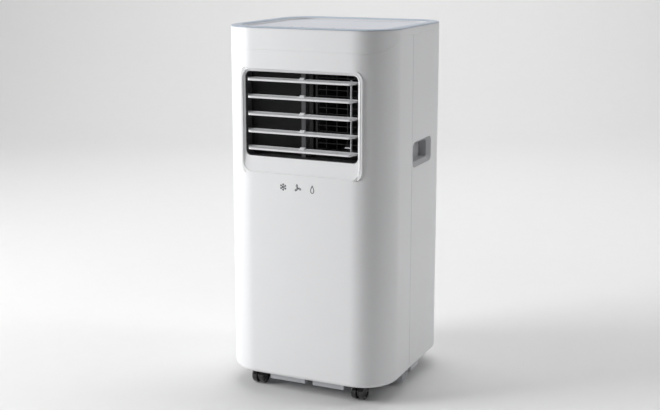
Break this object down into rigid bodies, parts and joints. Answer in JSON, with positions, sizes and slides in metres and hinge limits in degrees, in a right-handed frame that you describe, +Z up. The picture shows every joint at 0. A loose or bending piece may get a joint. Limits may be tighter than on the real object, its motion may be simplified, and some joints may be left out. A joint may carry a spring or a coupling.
{
  "type": "portable air conditioner",
  "caption": "Upright white portable air conditioner with tilting front louvres, touch panel top, side hand pockets, rear exhaust collar, drains and swivel casters.",
  "frame": {"origin": "floor level, at the middle of the overall width and depth", "axes": "+Z up, -Y towards the louvred front, +X to the right of a viewer who faces the front"},
  "size_m": [0.324, 0.333, 0.671],
  "materials": {
    "shell": "fine satin moulded plastic",
    "rim": "satin blue-grey plastic",
    "panel": "glossy touch panel",
    "display": "tinted window",
    "blade": "smooth white plastic",
    "frame_grey": "dark grey plastic",
    "duct_black": "black plastic",
    "guard": "black plastic bars",
    "grille_white": "satin white plastic",
    "filter": "fine filter mesh in a plastic frame",
    "base": "grey moulded plastic",
    "skid": "light grey plastic",
    "caster": "black nylon",
    "rubber": "soft black rubber",
    "motor": "grey painted steel",
    "steel": "zinc plated steel",
    "compressor": "black painted steel",
    "coil": "aluminium fins",
    "copper": "copper pipe",
    "fan": "grey plastic",
    "scroll": "dark foam lined plastic",
    "hot_duct": "galvanised sheet",
    "board": "circuit board"
  },
  "bodies": {
    "cabinet": {"front_panel": "shell", "rear_housing": "shell", "top_cover": "shell", "top_rim": "rim", "control_tray": "shell", "control_panel": "panel", "display_window": "display", "control_board": "board", "outlet_surround": "shell", "outlet_frame": "frame_grey", "air_duct": "duct_black", "air_guide": "duct_black", "centre_post": "frame_grey", "guard_grid": "guard", "louver_motor": "motor", "handle_left": "shell", "handle_right": "shell", "base_pan": "base", "base_skids": "skid", "lower_grille": "grille_white", "exhaust_collar": "grille_white", "cord_gland": "rubber", "upper_spigot": "grille_white", "lower_spigot": "grille_white", "partition": "base", "evaporator": "coil", "cold_scroll": "scroll", "cold_motor": "motor", "condenser": "coil", "hot_scroll": "hot_duct", "hot_motor": "motor", "compressor": "compressor", "rubber_feet": "rubber", "accumulator": "compressor", "refrigerant_tubes": "copper", "slinger_motor": "motor", "control_box": "motor", "run_capacitor": "steel", "screws": "steel"},
    "louver_1": {"louver_1": "blade"},
    "louver_2": {"louver_2": "blade"},
    "louver_3": {"louver_3": "blade"},
    "louver_4": {"louver_4": "blade"},
    "louver_5": {"louver_5": "blade"},
    "louver_link": {"louver_link": "blade"},
    "caster_1": {"caster_1_fork": "caster"},
    "caster_1_wheels": {"caster_1_wheels": "caster"},
    "caster_2": {"caster_2_fork": "caster"},
    "caster_2_wheels": {"caster_2_wheels": "caster"},
    "caster_3": {"caster_3_fork": "caster"},
    "caster_3_wheels": {"caster_3_wheels": "caster"},
    "caster_4": {"caster_4_fork": "caster"},
    "caster_4_wheels": {"caster_4_wheels": "caster"},
    "filter_door": {"upper_grille": "grille_white", "upper_filter": "filter"},
    "upper_plug": {"upper_plug": "rubber"},
    "lower_plug": {"lower_plug": "rubber"},
    "cold_wheel": {"cold_wheel": "fan"},
    "hot_wheel": {"hot_wheel": "fan"},
    "slinger_wheel": {"slinger_wheel": "fan"}
  },
  "joints": [
    {"name": "louver_5_tilt", "type": "hinge", "parent": "cabinet", "child": "louver_5", "pos_m": [0, -0.1455, 0.579], "axis": [1, 0, 0], "range_deg": [-28, 25]},
    {"name": "louver_1_tilt", "type": "hinge", "parent": "cabinet", "child": "louver_1", "pos_m": [0, -0.1455, 0.456], "axis": [1, 0, 0], "range_deg": [-28, 25]},
    {"name": "louver_2_tilt", "type": "hinge", "parent": "cabinet", "child": "louver_2", "pos_m": [0, -0.1455, 0.48675], "axis": [1, 0, 0], "range_deg": [-28, 25]},
    {"name": "louver_3_tilt", "type": "hinge", "parent": "cabinet", "child": "louver_3", "pos_m": [0, -0.1455, 0.5175], "axis": [1, 0, 0], "range_deg": [-28, 25]},
    {"name": "louver_4_tilt", "type": "hinge", "parent": "cabinet", "child": "louver_4", "pos_m": [0, -0.1455, 0.54825], "axis": [1, 0, 0], "range_deg": [-28, 25]},
    {"name": "louver_link_pin", "type": "hinge", "parent": "louver_5", "child": "louver_link", "pos_m": [0.089, -0.1385, 0.579], "axis": [1, 0, 0], "range_deg": [-25, 28]},
    {"name": "caster_1_swivel", "type": "hinge", "parent": "cabinet", "child": "caster_1", "pos_m": [-0.101, -0.1165, 0.038], "axis": [0, 0, 1], "continuous": true},
    {"name": "caster_1_roll", "type": "hinge", "parent": "caster_1", "child": "caster_1_wheels", "pos_m": [-0.101, -0.1225, 0.016], "axis": [1, 0, 0], "continuous": true},
    {"name": "caster_2_swivel", "type": "hinge", "parent": "cabinet", "child": "caster_2", "pos_m": [0.101, -0.1165, 0.038], "axis": [0, 0, 1], "continuous": true},
    {"name": "caster_2_roll", "type": "hinge", "parent": "caster_2", "child": "caster_2_wheels", "pos_m": [0.101, -0.1225, 0.016], "axis": [1, 0, 0], "continuous": true},
    {"name": "caster_3_swivel", "type": "hinge", "parent": "cabinet", "child": "caster_3", "pos_m": [-0.101, 0.1145, 0.038], "axis": [0, 0, 1], "continuous": true},
    {"name": "caster_3_roll", "type": "hinge", "parent": "caster_3", "child": "caster_3_wheels", "pos_m": [-0.101, 0.1085, 0.016], "axis": [1, 0, 0], "continuous": true},
    {"name": "caster_4_swivel", "type": "hinge", "parent": "cabinet", "child": "caster_4", "pos_m": [0.101, 0.1145, 0.038], "axis": [0, 0, 1], "continuous": true},
    {"name": "caster_4_roll", "type": "hinge", "parent": "caster_4", "child": "caster_4_wheels", "pos_m": [0.101, 0.1085, 0.016], "axis": [1, 0, 0], "continuous": true},
    {"name": "filter_door_pull", "type": "slide", "parent": "cabinet", "child": "filter_door", "axis": [0, 1, 0], "range_m": [0, 0.06]},
    {"name": "upper_plug_pull", "type": "slide", "parent": "cabinet", "child": "upper_plug", "axis": [0, 1, 0], "range_m": [0, 0.03]},
    {"name": "lower_plug_pull", "type": "slide", "parent": "cabinet", "child": "lower_plug", "axis": [0, 1, 0], "range_m": [0, 0.03]},
    {"name": "cold_wheel_spin", "type": "hinge", "parent": "cabinet", "child": "cold_wheel", "pos_m": [-0.035, 0.022, 0.49], "axis": [0, 1, 0], "continuous": true},
    {"name": "hot_wheel_spin", "type": "hinge", "parent": "cabinet", "child": "hot_wheel", "pos_m": [0.058, 0.008, 0.147], "axis": [0, 1, 0], "continuous": true},
    {"name": "slinger_wheel_spin", "type": "hinge", "parent": "cabinet", "child": "slinger_wheel", "pos_m": [-0.03, 0.0705, 0.054], "axis": [0, 1, 0], "continuous": true}
  ],
  "couplings": [
    {"joint": "louver_1_tilt", "follows": "louver_5_tilt", "ratio": 1},
    {"joint": "louver_2_tilt", "follows": "louver_5_tilt", "ratio": 1},
    {"joint": "louver_3_tilt", "follows": "louver_5_tilt", "ratio": 1},
    {"joint": "louver_4_tilt", "follows": "louver_5_tilt", "ratio": 1},
    {"joint": "louver_link_pin", "follows": "louver_5_tilt", "ratio": -1}
  ]
}
